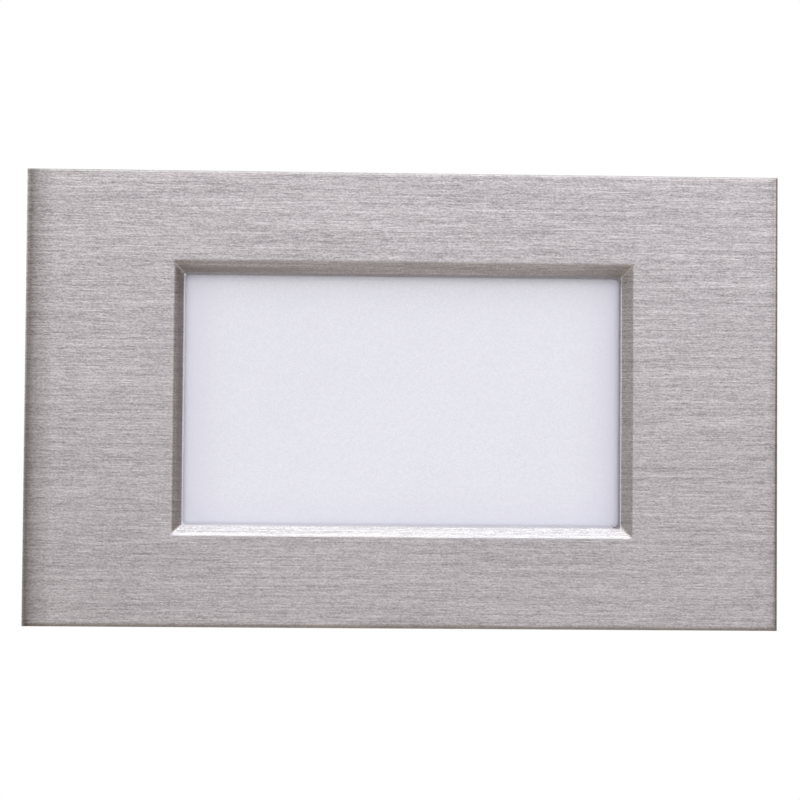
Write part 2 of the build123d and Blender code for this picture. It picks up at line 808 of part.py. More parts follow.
with BuildPart() as lead_bushing:
    with BuildSketch(wall_plane(partition_back)):
        with Locations((lead_x, lead_z)):
            Circle(bushing_diameter / 2)
    extrude(amount=partition_thick - bushing_recess)
    with BuildSketch(wall_plane(partition_back + bushing_flange_thick)):
        with Locations((lead_x, lead_z)):
            Circle(bushing_flange_diameter / 2)
    extrude(amount=bushing_flange_thick)
    with BuildSketch(wall_plane(partition_back + bushing_flange_thick)):
        with Locations(*lead_points):
            RegularPolygon(lead_diameter / 2 + lead_fit, lead_sides)
    extrude(amount=partition_thick + bushing_flange_thick, mode=Mode.SUBTRACT)
lead_bushing.part.label = "lead_bushing"
export_step(lead_bushing.part, "parts/lead_bushing.step")

# ------------------------------------------------------------------ driver board
with BuildPart() as driver_board:
    with BuildSketch(wall_plane(driver_back)):
        RectangleRounded(driver_width, driver_height, driver_corner)
    extrude(amount=board_thick)
    clearance_holes = screw_sections(driver_screw_points, small_screw_hole, driver_back)
    extrude(clearance_holes, amount=board_thick, mode=Mode.SUBTRACT)
driver_board.part.label = "driver_board"
export_step(driver_board.part, "parts/driver_board.step")

with BuildPart() as driver_screws:
    add(
        pan_screws(
            driver_screw_points, driver_back, -1,
            small_screw_head, small_screw_head_height,
            small_screw_shank, board_thick + driver_screw_depth,
        )
    )
driver_screws.part.label = "driver_screws"
export_step(driver_screws.part, "parts/driver_screws.step")


# ------------------------------------------------------------------ driver components

def standing_box(place, size):
    """Box on the driver board: size is width, rise off the board and height in Z."""
    width, rise, height = size
    with BuildPart() as block:
        with BuildSketch(wall_plane(driver_back + rise)):
            with Locations(place):
                Rectangle(width, height)
        extrude(amount=rise)
        chamfer(block.faces().sort_by(Axis.Y)[-1].edges(), case_chamfer)
    return block.part


def gull_pins(place, size, count, pitch):
    """Flat pins out of the top and bottom of a small package, down to the board."""
    width, rise, height = size
    reach = height / 2 + 3 * pin_width
    with BuildPart() as pins:
        for side in (-1, 1):
            with BuildSketch(wall_plane(driver_back + pin_thick)):
                with Locations((place[0], place[1] + side * (reach - pin_width))):
                    with GridLocations(pitch, 1, count, 1):
                        Rectangle(pin_width, 2 * pin_width)
            extrude(amount=pin_thick)
            with BuildSketch(wall_plane(driver_back + rise / 2)):
                with Locations((place[0], place[1] + side * (height / 2 + pin_width / 2))):
                    with GridLocations(pitch, 1, count, 1):
                        Rectangle(pin_width, pin_width)
            extrude(amount=rise / 2)
    return pins.part


def can_capacitor(place, diameter, rise):
    """Standing round can with a shallow dish in its top."""
    with BuildPart() as can:
        with BuildSketch(wall_plane(driver_back + rise)):
            with Locations(place):
                Circle(diameter / 2)
        extrude(amount=rise)
        with BuildSketch(wall_plane(driver_back + rise)):
            with Locations(place):
                RegularPolygon(diameter / 2 - can_rim, can_dish_sides)
        extrude(amount=can_dish, mode=Mode.SUBTRACT)
    return can.part


core_front = driver_back + bobbin_lift
core_rise = driver_room - bobbin_lift - core_gap
core_window = (core_width - 4 * core_limb) / 2
winding_rise = core_rise - 2 * core_limb

with BuildPart() as transformer_core:
    with BuildSketch(Plane.XY.offset(transformer_at[1])) as core_section:
        with Locations((transformer_at[0], core_front + core_rise / 2)):
            Rectangle(core_width, core_rise)
            with Locations(
                (-core_limb - core_window / 2, 0), (core_limb + core_window / 2, 0)
            ):
                Rectangle(core_window, winding_rise, mode=Mode.SUBTRACT)
    extrude(amount=core_stack / 2, both=True)
transformer_core.part.label = "transformer_core"
export_step(transformer_core.part, "parts/transformer_core.step")

bobbin_front = core_front + core_limb
bobbin_tube_width = 2 * (core_limb + bobbin_fit + bobbin_wall)
bobbin_tube_height = core_stack + 2 * (bobbin_fit + bobbin_wall)
spool_rise = winding_rise - 2 * bobbin_fit
spool_width = 2 * (core_limb + core_window - bobbin_fit)
spool_back = bobbin_front + winding_rise - bobbin_fit
foot_height = (bobbin_depth - core_stack) / 2 - bobbin_fit

with BuildPart() as transformer_bobbin:
    # two flanges joined by the tube round the centre limb
    for cheek_back in (bobbin_front + bobbin_fit + bobbin_wall, spool_back):
        with BuildSketch(wall_plane(cheek_back)):
            with Locations(transformer_at):
                Rectangle(spool_width, bobbin_depth)
        extrude(amount=bobbin_wall)
    with BuildSketch(wall_plane(spool_back)):
        with Locations(transformer_at):
            Rectangle(bobbin_tube_width, bobbin_tube_height)
    extrude(amount=spool_rise)
    # feet beside the core, down to the board
    with BuildSketch(wall_plane(bobbin_front + bobbin_fit)):
        with Locations(transformer_at):
            with GridLocations(1, bobbin_depth - foot_height, 1, 2):
                Rectangle(core_width, foot_height)
    extrude(amount=bobbin_front + bobbin_fit - driver_back)
    with BuildSketch(wall_plane(bobbin_front + winding_rise)):
        with Locations(transformer_at):
            Rectangle(
                bobbin_tube_width - 2 * bobbin_wall, bobbin_tube_height - 2 * bobbin_wall
            )
    extrude(amount=winding_rise, mode=Mode.SUBTRACT)
transformer_bobbin.part.label = "transformer_bobbin"
export_step(transformer_bobbin.part, "parts/transformer_bobbin.step")

with BuildPart() as transformer_winding:
    with BuildSketch(wall_plane(spool_back - bobbin_wall)):
        with Locations(transformer_at):
            RectangleRounded(
                bobbin_tube_width + 2 * winding_build,
                bobbin_tube_height + 2 * winding_build,
                winding_build,
            )
            Rectangle(bobbin_tube_width, bobbin_tube_height, mode=Mode.SUBTRACT)
    extrude(amount=spool_rise - 2 * bobbin_wall)
transformer_winding.part.label = "transformer_winding"
export_step(transformer_winding.part, "parts/transformer_winding.step")

input_capacitor_size = (
    input_capacitor_width, driver_room - input_capacitor_gap, input_capacitor_height
)

with BuildPart() as input_capacitor:
    add(standing_box(input_capacitor_at, input_capacitor_size))
input_capacitor.part.label = "input_capacitor"
export_step(input_capacitor.part, "parts/input_capacitor.step")

with BuildPart() as input_fuse:
    add(standing_box(fuse_at, fuse_size))
input_fuse.part.label = "input_fuse"
export_step(input_fuse.part, "parts/input_fuse.step")

bulk_capacitor_rise = driver_room - bulk_capacitor_gap

with BuildPart() as bulk_capacitor:
    add(can_capacitor(bulk_capacitor_at, bulk_capacitor_diameter, bulk_capacitor_rise))
bulk_capacitor.part.label = "bulk_capacitor"
export_step(bulk_capacitor.part, "parts/bulk_capacitor.step")

output_capacitor_rise = driver_room - output_capacitor_gap

with BuildPart() as output_capacitor:
    add(can_capacitor(output_capacitor_at, output_capacitor_diameter, output_capacitor_rise))
output_capacitor.part.label = "output_capacitor"
export_step(output_capacitor.part, "parts/output_capacitor.step")

with BuildPart() as bridge_rectifier:
    add(standing_box(bridge_at, bridge_size))
    add(gull_pins(bridge_at, bridge_size, bridge_pins, bridge_pin_pitch))
bridge_rectifier.part.label = "bridge_rectifier"
export_step(bridge_rectifier.part, "parts/bridge_rectifier.step")

with BuildPart() as driver_chip:
    add(standing_box(chip_at, chip_size))
    add(gull_pins(chip_at, chip_size, chip_pins, chip_pin_pitch))
driver_chip.part.label = "driver_chip"
export_step(driver_chip.part, "parts/driver_chip.step")

with BuildPart() as varistor:
    with BuildSketch(Plane.XY.offset(varistor_at[1])):
        with Locations((varistor_at[0], driver_back + varistor_diameter / 2)):
            Circle(varistor_diameter / 2)
    extrude(amount=varistor_thick / 2, both=True)
varistor.part.label = "varistor"
export_step(varistor.part, "parts/varistor.step")

with BuildPart() as choke:
    add(standing_box(choke_at, choke_size))
choke.part.label = "choke"
export_step(choke.part, "parts/choke.step")

# ------------------------------------------------------------------ rear cover
seal_width = rear_width - 2 * rear_gasket_inset
seal_height = rear_height - 2 * rear_gasket_inset
seal_corner = body_corner - rear_gasket_inset

with BuildPart() as rear_gasket:
    add(
        ring(
            cover_front, rear_gasket_thick,
            seal_width, seal_height, seal_corner,
            seal_width - 2 * rear_gasket_width,
            seal_height - 2 * rear_gasket_width,
            seal_corner - rear_gasket_width,
        )
    )
rear_gasket.part.label = "rear_gasket"
export_step(rear_gasket.part, "parts/rear_gasket.step")

with BuildPart() as rear_cover:
    with BuildSketch(wall_plane(cover_back)):
        RectangleRounded(rear_width, rear_height, body_corner)
    extrude(amount=cover_thick)
    chamfer(rear_cover.faces().sort_by(Axis.Y)[-1].edges(), cover_round)
    with BuildSketch(wall_plane(cover_front)):
        with Locations((ground_x, ground_z)):
            Circle(ground_boss_diameter / 2)
    extrude(amount=ground_boss_depth)
    with BuildSketch(wall_plane(cover_back)):
        with Locations((inlet_x, 0)):
            Circle(grommet_diameter / 2 + rubber_fit)
    extrude(amount=cover_thick, mode=Mode.SUBTRACT)
    clearance_holes = screw_sections(cover_screw_points, small_screw_hole, cover_back)
    extrude(clearance_holes, amount=cover_thick, mode=Mode.SUBTRACT)
    with BuildSketch(wall_plane(cover_back)):
        with Locations((ground_x, ground_z)):
            Circle((ground_shank + thread_clearance) / 2)
    extrude(amount=ground_thread_depth + tip_clearance, mode=Mode.SUBTRACT)
rear_cover.part.label = "rear_cover"
export_step(rear_cover.part, "parts/rear_cover.step")

with BuildPart() as cover_screws:
    add(
        pan_screws(
            cover_screw_points, cover_back, -1,
            small_screw_head, small_screw_head_height,
            small_screw_shank, cover_thick + cover_screw_depth,
        )
    )
cover_screws.part.label = "cover_screws"
export_step(cover_screws.part, "parts/cover_screws.step")

with BuildPart() as lead_grommet:
    with BuildSketch(wall_plane(cover_back)):
        with Locations((inlet_x, 0)):
            Circle(grommet_diameter / 2)
    extrude(amount=cover_thick)
    for flange_back in (cover_front, cover_back + grommet_flange_thick):
        with BuildSketch(wall_plane(flange_back)):
            with Locations((inlet_x, 0)):
                Circle(grommet_flange_diameter / 2)
        extrude(amount=grommet_flange_thick)
    with BuildSketch(wall_plane(cover_back + grommet_flange_thick)):
        with Locations((inlet_x, 0)):
            Circle(inlet_bore / 2)
    extrude(amount=cover_thick + 2 * grommet_flange_thick, mode=Mode.SUBTRACT)
lead_grommet.part.label = "lead_grommet"
export_step(lead_grommet.part, "parts/lead_grommet.step")

# ------------------------------------------------------------------ ground screw
washer_back = cover_back + ground_washer_thick

with BuildPart() as ground_washer:
    with BuildSketch(wall_plane(washer_back)):
        with Locations((ground_x, ground_z)):
            Circle(ground_washer_diameter / 2)
            Circle((ground_shank + hole_clearance) / 2, mode=Mode.SUBTRACT)
    extrude(amount=ground_washer_thick)
ground_washer.part.label = "ground_washer"
export_step(ground_washer.part, "parts/ground_washer.step")

with BuildPart() as ground_screw:
    with BuildSketch(wall_plane(washer_back + ground_head_height)):
        with Locations((ground_x, ground_z)):
            RegularPolygon(ground_head_diameter / 2, 6)
    extrude(amount=ground_head_height)
    with BuildSketch(wall_plane(washer_back)):
        with Locations((ground_x, ground_z)):
            Circle(ground_shank / 2)
    extrude(amount=ground_washer_thick + ground_thread_depth)
    with BuildSketch(wall_plane(washer_back + ground_head_height)):
        with Locations((ground_x, ground_z)):
            Rectangle(ground_head_diameter, ground_slot_width)
    extrude(amount=ground_head_height / 2, mode=Mode.SUBTRACT)
ground_screw.part.label = "ground_screw"
export_step(ground_screw.part, "parts/ground_screw.step")
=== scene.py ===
"""Looks of the recessed step light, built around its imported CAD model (metres, same frame)."""
import json
import math

import bmesh
import bpy
from mathutils import Matrix, Vector


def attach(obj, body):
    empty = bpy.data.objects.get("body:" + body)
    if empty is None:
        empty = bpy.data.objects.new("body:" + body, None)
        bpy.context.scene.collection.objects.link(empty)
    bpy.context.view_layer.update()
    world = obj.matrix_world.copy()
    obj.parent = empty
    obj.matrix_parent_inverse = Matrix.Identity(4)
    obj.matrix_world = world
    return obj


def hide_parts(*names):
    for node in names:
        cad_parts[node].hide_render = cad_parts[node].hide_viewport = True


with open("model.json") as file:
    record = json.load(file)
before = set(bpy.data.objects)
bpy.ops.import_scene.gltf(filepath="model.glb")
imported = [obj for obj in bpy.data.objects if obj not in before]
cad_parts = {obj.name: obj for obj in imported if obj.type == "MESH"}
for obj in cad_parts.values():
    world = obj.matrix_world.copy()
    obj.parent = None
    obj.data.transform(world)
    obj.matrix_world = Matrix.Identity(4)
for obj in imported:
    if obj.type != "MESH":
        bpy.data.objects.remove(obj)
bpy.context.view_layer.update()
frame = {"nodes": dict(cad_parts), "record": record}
scene = bpy.context.scene
cad = frame["nodes"]
slot_of = {row["node"]: row["material_slot"] for row in frame["record"]["subparts"]}

# ---------------------------------------------------------------- camera
CAMERA_PLACE = Vector((-0.0194, -0.4673, -0.02042))
CAMERA_TURN = (0.0444, -0.0078, -0.0412)      # tilt up, roll, pan, in radians
CAMERA_LENS_MM = 129.4
SENSOR_MM = 36.0
CLIP_NEAR = 0.01
CLIP_FAR = 20.0

camera_data = bpy.data.cameras.new("camera")
camera_data.lens = CAMERA_LENS_MM
camera_data.sensor_width = SENSOR_MM
camera_data.clip_start = CLIP_NEAR
camera_data.clip_end = CLIP_FAR
camera = bpy.data.objects.new("camera", camera_data)
scene.collection.objects.link(camera)
tilt, roll, pan = CAMERA_TURN
camera.matrix_world = (
    Matrix.Translation(CAMERA_PLACE)
    @ Matrix.Rotation(pan, 4, "Z")
    @ Matrix.Rotation(tilt, 4, "X")
    @ Matrix.Rotation(roll, 4, "Y")
    @ Matrix.Rotation(math.pi / 2, 4, "X")
)
scene.camera = camera
scene.view_settings.view_transform = "Standard"

# ---------------------------------------------------------------- node helpers
# the Mix node's sockets for its two inputs and its result, by the kind of what it mixes
MIX_SOCKETS = {"FLOAT": (2, 3, 0), "VECTOR": (4, 5, 1), "RGBA": (6, 7, 2)}


def wire(tree, made, inputs):
    """Sets a node's inputs, by name or number, to values or to other nodes' outputs."""
    for key, value in inputs.items():
        if isinstance(value, bpy.types.NodeSocket):
            tree.links.new(value, made.inputs[key])
        else:
            made.inputs[key].default_value = value


def node(tree, kind, inputs=None, **settings):
    made = tree.nodes.new(kind)
    for key, value in settings.items():
        setattr(made, key, value)
    wire(tree, made, inputs or {})
    return made


def math_node(tree, operation, a, b=0.0, clamp=False):
    return node(tree, "ShaderNodeMath", {0: a, 1: b}, operation=operation, use_clamp=clamp).outputs[0]


def plus(tree, a, b, clamp=False):
    return math_node(tree, "ADD", a, b, clamp)


def minus(tree, a, b):
    return math_node(tree, "SUBTRACT", a, b)


def times(tree, a, b):
    return math_node(tree, "MULTIPLY", a, b)


def absolute(tree, a):
    return math_node(tree, "ABSOLUTE", a)


def sine(tree, a):
    return math_node(tree, "SINE", a)


def larger(tree, a, b):
    return math_node(tree, "MAXIMUM", a, b)


def over(tree, a, b):
    """1 where a is greater than b, otherwise 0."""
    return math_node(tree, "GREATER_THAN", a, b)


def under(tree, a, b):
    """1 where a is less than b, otherwise 0."""
    return math_node(tree, "LESS_THAN", a, b)


def vector_math(tree, operation, a, b=(0.0, 0.0, 0.0)):
    return node(tree, "ShaderNodeVectorMath", {0: a, 1: b}, operation=operation).outputs[0]


def split(tree, vector):
    return node(tree, "ShaderNodeSeparateXYZ", {0: vector}).outputs


def combine(tree, x, y, z):
    return node(tree, "ShaderNodeCombineXYZ", {0: x, 1: y, 2: z}).outputs[0]


def place(tree):
    """Object coordinates, in metres."""
    return node(tree, "ShaderNodeTexCoord").outputs["Object"]


def noise(tree, vector, scale, detail, roughness=0.5):
    made = node(tree, "ShaderNodeTexNoise", {
        "Vector": vector, "Scale": scale, "Detail": detail, "Roughness": roughness,
    })
    return made.outputs["Fac"]


def remap(tree, value, low, high, out_low, out_high):
    made = node(tree, "ShaderNodeMapRange", {
        "Value": value, "From Min": low, "From Max": high, "To Min": out_low, "To Max": out_high,
    })
    return made.outputs["Result"]


def ramp(tree, value, rows):
    """A colour ramp from rows of position, red, green and blue, in rising order."""
    made = node(tree, "ShaderNodeValToRGB", {0: value})
    stops = made.color_ramp.elements
    stops.remove(stops[1])
    for number, (position, *color) in enumerate(rows):
        stop = stops.new(position) if number else stops[0]
        stop.position = position
        stop.color = (*color, 1.0)
    return made.outputs[0]


def mix(tree, kind, fac, a, b):
    first, second, result = MIX_SOCKETS[kind]
    return node(tree, "ShaderNodeMix", {0: fac, first: a, second: b}, data_type=kind).outputs[result]


def mix_colors(tree, fac, a, b):
    a, b = (c if isinstance(c, bpy.types.NodeSocket) else (*c, 1.0) for c in (a, b))
    return mix(tree, "RGBA", fac, a, b)


def bump(tree, height, distance, **normal):
    return node(tree, "ShaderNodeBump", {"Height": height, "Distance": distance, **normal}).outputs[0]


def material(name):
    made = bpy.data.materials.new(name)
    made.use_nodes = True
    tree = made.node_tree
    shader = tree.nodes["Principled BSDF"]
    return made, tree, shader


def shade(color, factor):
    return tuple(min(1.0, c * factor) for c in color)


def two_tones(color, tint):
    return shade(color, 1.0 - tint), shade(color, 1.0 + tint)


WHITE = (1.0, 1.0, 1.0)
NOISE_SPREAD = (0.3, 0.7)             # noise rarely leaves this range

# ---------------------------------------------------------------- brushed steel
# brush lines: how many waves a metre along and across the sheet, and their share
STREAKS = (
    (2900.0, 5400.0, 1.05), (900.0, 5200.0, 0.55), (400.0, 5200.0, 0.45),
    (200.0, 5200.0, 0.42), (60.0, 4600.0, 0.50), (35.0, 1300.0, 0.30),
)
STREAK_SPAN = (-0.55, 0.55)           # their sum, from the darkest tone to the lightest
STREAK_RELIEF = 0.000013
STEEL = (0.600, 0.560, 0.574)
STEEL_CONTRAST = 0.36
STEEL_ROUGHNESS = (0.36, 0.28)        # on the darkest lines, and on the lightest
STEEL_STRETCH = 0.6
TANGENT = (0.0, 0.04, 1.0)            # gloss stretches square to the brush lines
TOWARDS_ROOM = (0.0, -1.0, 0.0)
EDGE_TURN = 0.45                      # a normal that leans to Z by more is a top or bottom edge's
FRONT_TURN = 0.12                     # one that leans to the room by more is the front's
PLATE_HALF = (0.060325, 0.0365)

# painted shade by the folds: distance in from the plate's side, and how much of the steel's lightness
# stays there
PAINTED_FOLD_SHADE = {
    "left": ((0.0002, 1.0), (0.00045, 0.52), (0.0007, 0.42),
             (0.0013, 0.60), (0.0021, 0.76), (0.0045, 1.0)),
    "right": ((0.0001, 0.62), (0.0003, 0.72), (0.0008, 0.86), (0.0012, 0.94), (0.0020, 1.0)),
    "below": ((0.0, 0.88), (0.0005, 0.94), (0.0012, 1.0)),
    "above": ((0.0, 0.62), (0.0004, 0.66), (0.0006, 0.92), (0.0010, 1.0)),
}
FOLD_REACH = 0.0050
FOLD_WARMTH = (0.0, 0.1, 0.2)         # green and blue drop there a little more than red

# the window: half of what the lip's front edge spans, with the bevel outside it
LIP_HALF = (0.03531, 0.02031)
LIP_MIDDLE = 0.03514                  # x half way across the lip
PAINTED_HIGHLIGHT_STEEL = (0.88, 0.87, 0.86)        # painted highlight on the lip, and along the mitres
LIP_HIGHLIGHT = (0.8, 0.55)                # how far the painted highlight shows, at the window's left and at its right
LIP_POLISH = 0.16                     # roughness that a bright lip loses
PAINTED_SHADE_STEEL = (0.20, 0.185, 0.17)       # painted shadow in the lip's cut: above, and at these places; the bevels' painted shade takes this colour too
CUT_LEFT = -0.0352
CUT_RIGHT = (0.034, LIP_MIDDLE)
CUT_SHOWS = 0.6
BEVEL_WIDTH = 0.0018
# a painted highlight along the mitres: its half width, and how much of it shows
MITRE_HALF = 0.00006
MITRE_SHOWS = 0.45

# painted shade: how far the bevel darkens at the lip, and where that starts and ends to fade outwards
BEVEL_SHADE = 0.55
SHADE_FADE = (0.35 * BEVEL_WIDTH, 0.62 * BEVEL_WIDTH)
# its share by height on the left bevel, and by place along the upper one: from, to, and levels
SHADE_LEFT = (0.004, 0.020, 1.0, 0.5)
SHADE_ABOVE = ((-0.030, -0.008, 1.0, 0.1), (0.008, 0.034, 0.0, 0.35))

# out from the lip, where the bevel's light turns into the face's
CREASE_TURNS = {
    "left": (0.00095, 0.00188), "right": (0.00140, 0.00180),
    "below": (0.00105, 0.00215), "above": (0.00160, 0.00208),
}
CREASE_END = 0.0030
CREASE_SHADE = 1.2                     # painted shade: four times how far the lower crease darkens half way


def brush_lines(tree, x, y, z, on_edge):
    """The sum of the brush lines, about 0; on the upper and lower edges they run on along X."""
    total = 0.0
    for along, fine, weight in STREAKS:
        back = remap(tree, on_edge, 0.0, 1.0, along, fine)
        vector = combine(tree, times(tree, x, along), times(tree, y, back), times(tree, z, fine))
        centred = minus(tree, noise(tree, vector, 1.0, 0.0), 0.5)
        total = plus(tree, total, times(tree, centred, weight))
    return total


def paint_fold_shade(tree, color, front, x, z):
    """Paints shade on the face beside its folds."""
    distances = {
        "left": plus(tree, x, PLATE_HALF[0]),
        "right": minus(tree, PLATE_HALF[0], x),
        "below": plus(tree, z, PLATE_HALF[1]),
        "above": minus(tree, PLATE_HALF[1], z),
    }
    for side, distance in distances.items():
        rows = []
        for reach, level in PAINTED_FOLD_SHADE[side]:
            halved = 0.5 + 0.5 * level
            rows.append((reach / FOLD_REACH, *(level * halved ** warmth for warmth in FOLD_WARMTH)))
        shades = ramp(tree, remap(tree, distance, 0.0, FOLD_REACH, 0.0, 1.0), rows)
        color = mix_colors(tree, front, color, vector_math(tree, "MULTIPLY", color, shades))
    return color


def window_masks(tree, x, z):
    """How far a point lies out from the lip, and on which side, as the mitres part them."""
    out_x = minus(tree, absolute(tree, x), LIP_HALF[0])
    out_z = minus(tree, absolute(tree, z), LIP_HALF[1])
    outward = larger(tree, out_x, out_z)
    beside = over(tree, out_x, out_z)
    along = minus(tree, 1.0, beside)
    return {
        "outward": outward,
        "beside": beside,
        "left": times(tree, beside, under(tree, x, 0.0)),
        "above": times(tree, along, over(tree, z, 0.0)),
        "below": times(tree, along, under(tree, z, 0.0)),
        "bevel": times(tree, over(tree, outward, 0.0), under(tree, outward, BEVEL_WIDTH)),
        "from_mitre": absolute(tree, minus(tree, out_x, out_z)),
    }


def crease_turn(tree, x, z, masks):
    """0 on the bevel and 1 on the face; the sheet rolls over smoothly between them."""
    limits = []
    for end in (0, 1):
        left, right, below, above = (turns[end] for turns in CREASE_TURNS.values())
        at_side = remap(tree, x, -LIP_MIDDLE, LIP_MIDDLE, left, right)
        at_rise = remap(tree, z, -LIP_HALF[1], LIP_HALF[1], below, above)
        limits.append(mix(tree, "FLOAT", masks["beside"], at_rise, at_side))
    made = node(tree, "ShaderNodeMapRange", {
        "Value": masks["outward"], "From Min": limits[0], "From Max": limits[1],
    }, interpolation_type="SMOOTHSTEP")
    return made.outputs["Result"]


def paint_bevel_light(tree, color, x, z, masks, turned):
    """Paints shade on the left and upper bevels by the lip and on the lower crease, and a highlight
    along the mitres.
    """
    by_height = remap(tree, absolute(tree, z), *SHADE_LEFT)
    by_place = plus(tree, *(remap(tree, x, *stretch) for stretch in SHADE_ABOVE))
    shares = plus(tree, times(tree, masks["left"], by_height), times(tree, masks["above"], by_place))
    shade_share = times(tree, shares, remap(tree, masks["outward"], *SHADE_FADE, BEVEL_SHADE, 0.0))
    color = mix_colors(tree, times(tree, shade_share, masks["bevel"]), color, PAINTED_SHADE_STEEL)
    # painted shade half way round the lower crease
    halfway = times(tree, turned, minus(tree, 1.0, turned))
    shade_share = times(tree, times(tree, halfway, masks["below"]), CREASE_SHADE)
    color = mix_colors(tree, shade_share, color, PAINTED_SHADE_STEEL)
    # painted highlight along the mitres
    mitre = times(tree, masks["bevel"], under(tree, masks["from_mitre"], MITRE_HALF))
    return mix_colors(tree, times(tree, mitre, MITRE_SHOWS), color, PAINTED_HIGHLIGHT_STEEL)


def paint_lip_light(tree, color, x, masks):
    """Paints a highlight on the lip and a shadow in its cut; gives the colour, and where the lip is
    bright.
    """
    lip = under(tree, masks["outward"], 0.0)
    cut_right = times(tree, over(tree, x, CUT_RIGHT[0]), under(tree, x, CUT_RIGHT[1]))
    cut_beside = larger(tree, cut_right, under(tree, x, CUT_LEFT))
    cut = times(tree, lip, larger(tree, cut_beside, masks["above"]))
    bright = minus(tree, lip, cut)
    highlight_share = remap(tree, x, -LIP_MIDDLE, LIP_MIDDLE, *LIP_HIGHLIGHT)
    color = mix_colors(tree, times(tree, bright, highlight_share), color, PAINTED_HIGHLIGHT_STEEL)
    return mix_colors(tree, times(tree, cut, CUT_SHOWS), color, PAINTED_SHADE_STEEL), bright


def rolled_normal(tree, normal, amount):
    """Turns the surface's normal towards the room by an amount from 0 to 1."""
    mixed = mix(tree, "VECTOR", amount, normal, TOWARDS_ROOM)
    turned = node(tree, "ShaderNodeVectorTransform", {0: mixed}, vector_type="NORMAL",
                  convert_from="OBJECT", convert_to="WORLD")
    return vector_math(tree, "NORMALIZE", turned.outputs[0])


def brushed_stainless():
    """Sheet brushed along X before it was folded, so the lines run over the side bends."""
    made, tree, shader = material("brushed_stainless")
    coords = node(tree, "ShaderNodeTexCoord").outputs
    x, y, z = split(tree, coords["Object"])
    _, facing, across = split(tree, coords["Normal"])
    lines = brush_lines(tree, x, y, z, over(tree, absolute(tree, across), EDGE_TURN))
    front = over(tree, times(tree, facing, -1.0), FRONT_TURN)
    masks = window_masks(tree, x, z)
    turned = crease_turn(tree, x, z, masks)

    tones = two_tones(STEEL, STEEL_CONTRAST)
    color = mix_colors(tree, remap(tree, lines, *STREAK_SPAN, 0.0, 1.0), *tones)
    color = paint_fold_shade(tree, color, front, x, z)
    color = paint_bevel_light(tree, color, x, z, masks, turned)
    color, bright_lip = paint_lip_light(tree, color, x, masks)

    rough = remap(tree, lines, *STREAK_SPAN, *STEEL_ROUGHNESS)
    near_window = times(tree, front, under(tree, masks["outward"], CREASE_END))
    normal = rolled_normal(tree, coords["Normal"], times(tree, turned, near_window))
    wire(tree, shader, {
        "Base Color": color,
        "Metallic": 1.0,
        "Roughness": minus(tree, rough, times(tree, bright_lip, LIP_POLISH)),
        "Anisotropic": STEEL_STRETCH,
        "Tangent": combine(tree, *TANGENT),
        "Normal": bump(tree, lines, STREAK_RELIEF, Normal=normal),
    })
    return made


# ---------------------------------------------------------------- opal lens
LENS_TONES = ((0.770, 0.770, 0.850), (0.868, 0.868, 0.950))
LENS_RIM_SHADE = (0.722, 0.718, 0.825)
LENS_GRAIN = (5200.0, 2.0, 0.7)       # a noise's scale, detail and roughness
LENS_DRIFT = (40.0, 2.0)
LENS_DRIFT_SHARE = 0.15
LENS_SPREAD = (0.35, 0.65)
LENS_ROUGHNESS = (0.42, 0.52)
LENS_RELIEF = 0.000008
LENS_GLOW = 0.35
LENS_GLOW_DEPTH = (0.0016, 0.0015, 0.0015)
# painted shade, how it dims towards its frame: from and to, out from its middle, and levels there
RIM_BESIDE = (0.0260, 0.0352, 0.0, 1.0)
RIM_ABOVE = (0.0150, 0.0202, 0.0, 0.22)
RIM_BELOW = (-0.0130, -0.0202, 0.0, 0.85)


def opal_lens():
    """Opal sheet with a fine grain, and painted shade that dims it a little towards the frame that holds
    it.
    """
    made, tree, shader = material("opal_lens")
    points = place(tree)
    grain = noise(tree, points, *LENS_GRAIN)
    drift = noise(tree, points, *LENS_DRIFT)
    tone = plus(tree, times(tree, grain, 1.0 - LENS_DRIFT_SHARE), times(tree, drift, LENS_DRIFT_SHARE))
    color = mix_colors(tree, remap(tree, tone, *LENS_SPREAD, 0.0, 1.0), *LENS_TONES)
    x, _, z = split(tree, points)
    # painted shade towards the frame, stronger beside it and below than above
    side = remap(tree, absolute(tree, x), *RIM_BESIDE)
    rise = plus(tree, remap(tree, z, *RIM_ABOVE), remap(tree, z, *RIM_BELOW))
    rim_shade = plus(tree, times(tree, side, side), times(tree, rise, rise), clamp=True)
    wire(tree, shader, {
        "Base Color": mix_colors(tree, rim_shade, color, LENS_RIM_SHADE),
        "Roughness": remap(tree, grain, *NOISE_SPREAD, *LENS_ROUGHNESS),
        "Normal": bump(tree, grain, LENS_RELIEF),
        "Subsurface Weight": LENS_GLOW,
        "Subsurface Radius": LENS_GLOW_DEPTH,
        "Subsurface Scale": 1.0,
    })
    return made


